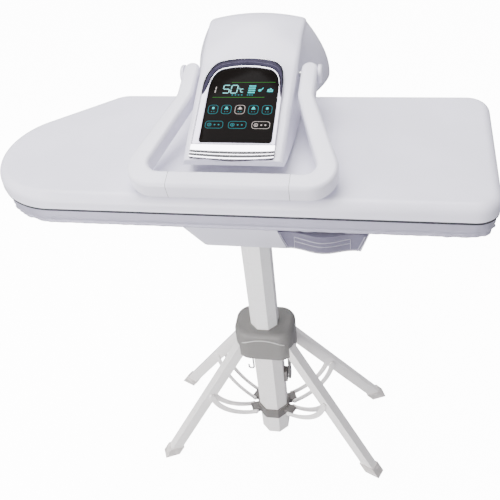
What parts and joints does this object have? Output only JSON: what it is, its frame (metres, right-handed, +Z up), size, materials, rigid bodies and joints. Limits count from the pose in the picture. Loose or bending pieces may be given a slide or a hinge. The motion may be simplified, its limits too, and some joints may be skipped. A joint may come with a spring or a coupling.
{
  "type": "steam ironing press",
  "caption": "Flatbed steam ironing press with a hinged heated plate, display head, bow handle and water tank, on a crank-height column stand with folding legs",
  "frame": {"origin": "on the floor under the column, at the middle of the footprint of the whole object", "axes": "+Z up, +X along the board towards its square end, -Y towards the user, +Y towards the rear hinge"},
  "size_m": [1.01, 0.495, 1.2353],
  "materials": {
    "shoe_white": "satin",
    "case_white": "satin",
    "head_white": "gloss",
    "bar_white": "satin",
    "grip_grey": "matt",
    "smoke": "clear",
    "cover_cloth": "woven",
    "felt": "felt",
    "black_glass": "polished",
    "chrome": "polished",
    "sole": "satin",
    "steel": "zinc plated",
    "stand_paint": "satin",
    "hub_grey": "matt",
    "dark_rubber": "matt",
    "guide_plastic": "matt",
    "board_green": "solder mask",
    "hose_rubber": "matt",
    "brass": "turned"
  },
  "bodies": {
    "stand": {"outer_tube": "stand_paint", "upper_guide": "guide_plastic", "hub": "hub_grey", "hub_pins": "steel", "crank_block": "hub_grey"},
    "hook": {"transport_hook": "steel"},
    "collar": {"collar": "hub_grey"},
    "crank": {"crank_arm": "stand_paint", "crank_shaft": "steel"},
    "knob": {"crank_knob": "hub_grey"},
    "deck": {"inner_tube": "stand_paint", "lower_guide": "guide_plastic", "rack": "steel", "mount_plate": "stand_paint", "mount_bolts": "steel", "base_case": "case_white", "base_feet": "dark_rubber", "board_pan": "case_white", "felt_pad": "felt", "board_cover": "cover_cloth", "pump": "guide_plastic", "pump_hose": "hose_rubber", "hinge_bracket": "steel", "hinge_shaft": "steel", "lift_springs": "steel", "cable_gland": "dark_rubber"},
    "tank": {"water_tank": "smoke", "tank_lid": "smoke", "tank_valve": "brass"},
    "flap": {"tank_flap": "smoke"},
    "press": {"head_cover": "head_white", "head_arm": "steel", "shoe_bolts": "steel", "shoe_cover": "shoe_white", "heat_shield": "steel", "heating_element": "steel", "soleplate": "sole", "steam_inlet": "brass", "steam_hose": "hose_rubber", "display_glass": "black_glass", "chrome_bezel": "chrome", "chrome_bar": "chrome", "control_board": "board_green", "handle_shaft": "steel", "pivot_caps": "bar_white", "hinge_bushes": "guide_plastic"},
    "handle": {"handle": "bar_white", "grip_sleeve": "grip_grey"},
    "leg_front_left": {"leg_front_left": "stand_paint", "foot_front_left": "dark_rubber"},
    "strut_front_left": {"strut_front_left": "stand_paint"},
    "leg_front_right": {"leg_front_right": "stand_paint", "foot_front_right": "dark_rubber"},
    "strut_front_right": {"strut_front_right": "stand_paint"},
    "leg_back_left": {"leg_back_left": "stand_paint", "foot_back_left": "dark_rubber"},
    "strut_back_left": {"strut_back_left": "stand_paint"},
    "leg_back_right": {"leg_back_right": "stand_paint", "foot_back_right": "dark_rubber"},
    "strut_back_right": {"strut_back_right": "stand_paint"}
  },
  "joints": [
    {"name": "press_open", "type": "hinge", "parent": "deck", "child": "press", "pos_m": [0.014, 0.2, 1.04266], "axis": [-1, 0, 0], "range_deg": [0, 55]},
    {"name": "handle_lift", "type": "hinge", "parent": "press", "child": "handle", "pos_m": [0.014, 0.07, 1.16266], "axis": [-1, 0, 0], "range_deg": [0, 40]},
    {"name": "height_adjust", "type": "slide", "parent": "stand", "child": "deck", "axis": [0, 0, 1], "range_m": [-0.19, 0]},
    {"name": "crank_turn", "type": "hinge", "parent": "stand", "child": "crank", "pos_m": [0.05, 0, 0.25056], "axis": [1, 0, 0], "range_deg": [-546, 2]},
    {"name": "knob_spin", "type": "hinge", "parent": "crank", "child": "knob", "pos_m": [0.07, 0, 0.32256], "axis": [1, 0, 0], "continuous": true},
    {"name": "hook_swing", "type": "hinge", "parent": "stand", "child": "hook", "pos_m": [-0.047, 0, 0.37256], "axis": [0, 1, 0], "range_deg": [0, 60]},
    {"name": "tank_slide", "type": "slide", "parent": "deck", "child": "tank", "axis": [0, -1, 0], "range_m": [0, 0.15]},
    {"name": "flap_hinge", "type": "hinge", "parent": "tank", "child": "flap", "pos_m": [0.183, -0.16533, 0.99216], "axis": [-1, 0, 0], "range_deg": [0, 100]},
    {"name": "collar_slide", "type": "slide", "parent": "stand", "child": "collar", "axis": [0, 0, 1], "range_m": [-0.0768, 0.0005]},
    {"name": "leg_fold_front_left", "type": "hinge", "parent": "stand", "child": "leg_front_left", "pos_m": [-0.06395, -0.02847, 0.40256], "axis": [0.4067, -0.9135, 0], "range_deg": [0, 28]},
    {"name": "leg_fold_front_right", "type": "hinge", "parent": "stand", "child": "leg_front_right", "pos_m": [0.06395, -0.02847, 0.40256], "axis": [0.4067, 0.9135, 0], "range_deg": [-0.5, 28.5]},
    {"name": "leg_fold_back_left", "type": "hinge", "parent": "stand", "child": "leg_back_left", "pos_m": [-0.06395, 0.02847, 0.40256], "axis": [-0.4067, -0.9135, 0], "range_deg": [-0.5, 28.5]},
    {"name": "leg_fold_back_right", "type": "hinge", "parent": "stand", "child": "leg_back_right", "pos_m": [0.06395, 0.02847, 0.40256], "axis": [-0.4067, 0.9135, 0], "range_deg": [-0.5, 28.5]},
    {"name": "strut_turn_front_left", "type": "hinge", "parent": "collar", "child": "strut_front_left", "pos_m": [-0.05481, -0.0244, 0.10756], "axis": [0.4067, -0.9135, 0], "range_deg": [-34.6, 0.5]},
    {"name": "strut_turn_front_right", "type": "hinge", "parent": "collar", "child": "strut_front_right", "pos_m": [0.05481, -0.0244, 0.10756], "axis": [0.4067, 0.9135, 0], "range_deg": [-34.6, 0.5]},
    {"name": "strut_turn_back_left", "type": "hinge", "parent": "collar", "child": "strut_back_left", "pos_m": [-0.05481, 0.0244, 0.10756], "axis": [-0.4067, -0.9135, 0], "range_deg": [-34.6, 0.5]},
    {"name": "strut_turn_back_right", "type": "hinge", "parent": "collar", "child": "strut_back_right", "pos_m": [0.05481, 0.0244, 0.10756], "axis": [-0.4067, 0.9135, 0], "range_deg": [-34.6, 0.5]}
  ],
  "couplings": [
    {"joint": "crank_turn", "follows": "height_adjust", "rad_per_m": 50},
    {"joint": "collar_slide", "follows": "leg_fold_front_left", "m_per_rad": -0.15603},
    {"joint": "strut_turn_front_left", "follows": "leg_fold_front_left", "ratio": -1.2143},
    {"joint": "leg_fold_front_right", "follows": "leg_fold_front_left", "ratio": 1},
    {"joint": "strut_turn_front_right", "follows": "leg_fold_front_left", "ratio": -1.2143},
    {"joint": "leg_fold_back_left", "follows": "leg_fold_front_left", "ratio": 1},
    {"joint": "strut_turn_back_left", "follows": "leg_fold_front_left", "ratio": -1.2143},
    {"joint": "leg_fold_back_right", "follows": "leg_fold_front_left", "ratio": 1},
    {"joint": "strut_turn_back_right", "follows": "leg_fold_front_left", "ratio": -1.2143}
  ]
}
